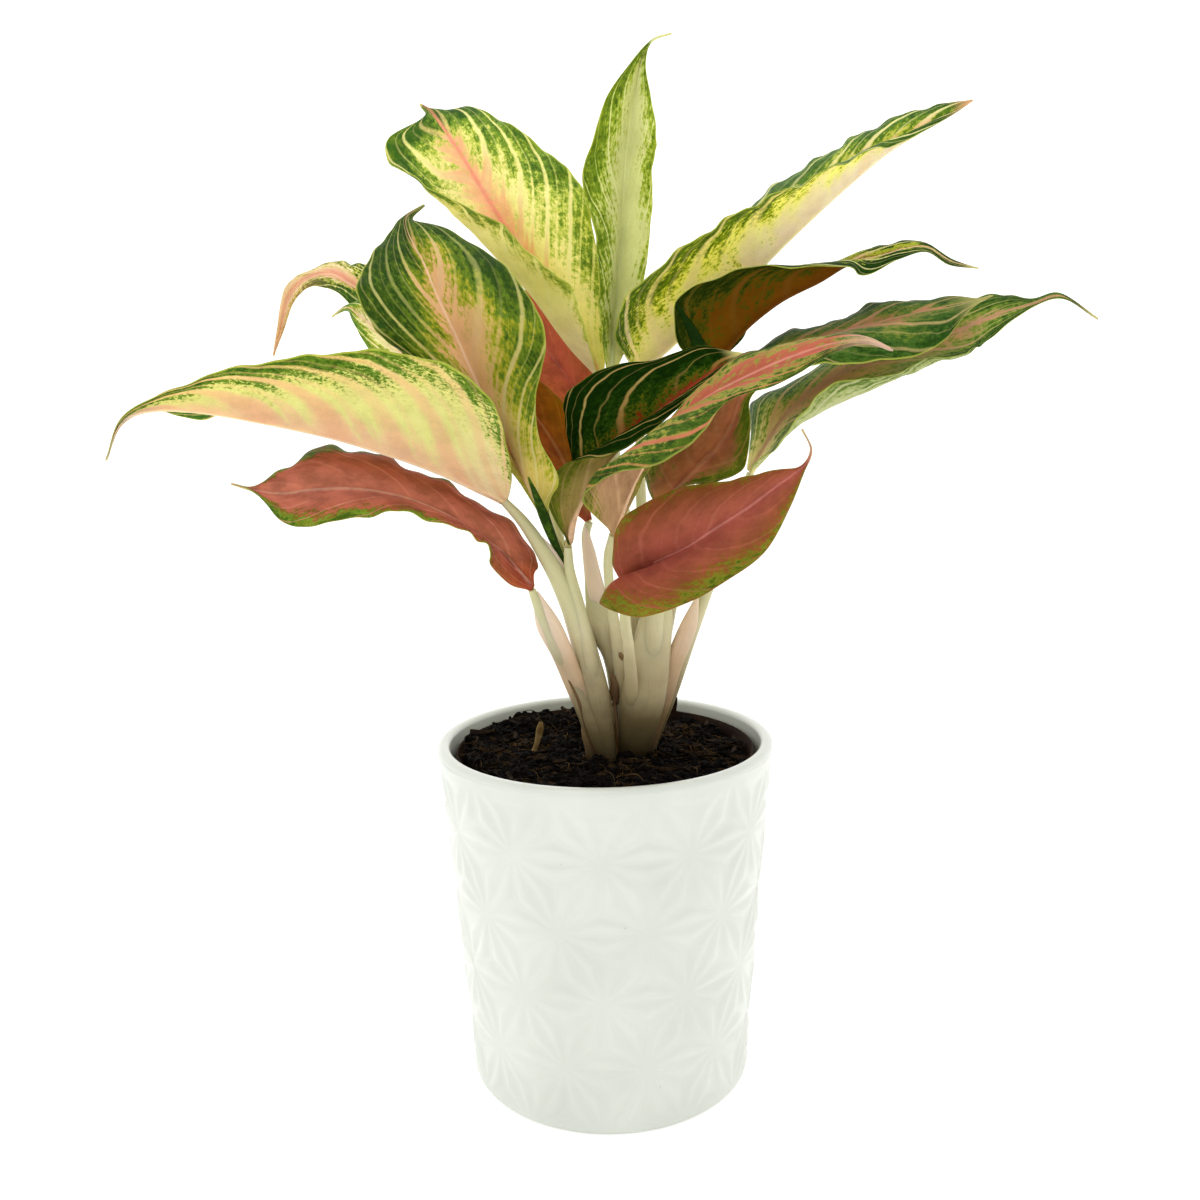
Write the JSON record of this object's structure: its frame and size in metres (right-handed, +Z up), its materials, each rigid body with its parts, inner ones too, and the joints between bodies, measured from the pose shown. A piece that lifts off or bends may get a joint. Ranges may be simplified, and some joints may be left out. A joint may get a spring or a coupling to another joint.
{
  "type": "potted chinese evergreen",
  "caption": "Broad variegated leaves on clustered pale stems, in soil in a nursery pot inside a tapered white cover pot with star relief.",
  "frame": {"origin": "centre of the cover pot's foot, on the surface it stands on", "axes": "+Z up along the pot's axis, -Y towards the front, +X to the right seen from the front"},
  "size_m": [0.3815, 0.212, 0.4204],
  "materials": {
    "glaze": "satin white glaze",
    "grow_plastic": "thin dark brown moulded plastic",
    "soil": "damp dark peat with tan fibres",
    "stem": "smooth cream petiole in papery sheaths",
    "leaf_green": "green leaf with cream veins and a pink midrib",
    "leaf_pale": "pale green leaf with green mottled margins",
    "leaf_cream": "cream and peach leaf underside",
    "leaf_coral": "coral leaf underside",
    "leaf_red": "deep red leaf underside",
    "leaf_brown": "brown leaf underside",
    "leaf_dark": "dark green leaf with pink veins"
  },
  "bodies": {
    "root": {"cover_pot": "glaze", "grow_pot": "grow_plastic", "potting_soil": "soil", "stems_left": "stem", "stems_right": "stem", "blade_left_long": "leaf_cream", "blade_left_broad": "leaf_green", "blade_upper_left": "leaf_green", "blade_top": "leaf_pale", "blade_upper_right": "leaf_cream", "blade_right_twisted": "leaf_brown", "blade_right_dark": "leaf_dark", "blade_right_low": "leaf_green", "blade_centre_dark": "leaf_dark", "blade_centre_rolled": "leaf_coral", "blade_centre_brown": "leaf_brown", "blade_front_coral": "leaf_coral", "blade_left_coral": "leaf_coral", "blade_back_drooping": "leaf_coral", "blade_back_pale": "leaf_cream", "blade_back_red": "leaf_red", "blade_back_orange": "leaf_brown"}
  },
  "joints": []
}
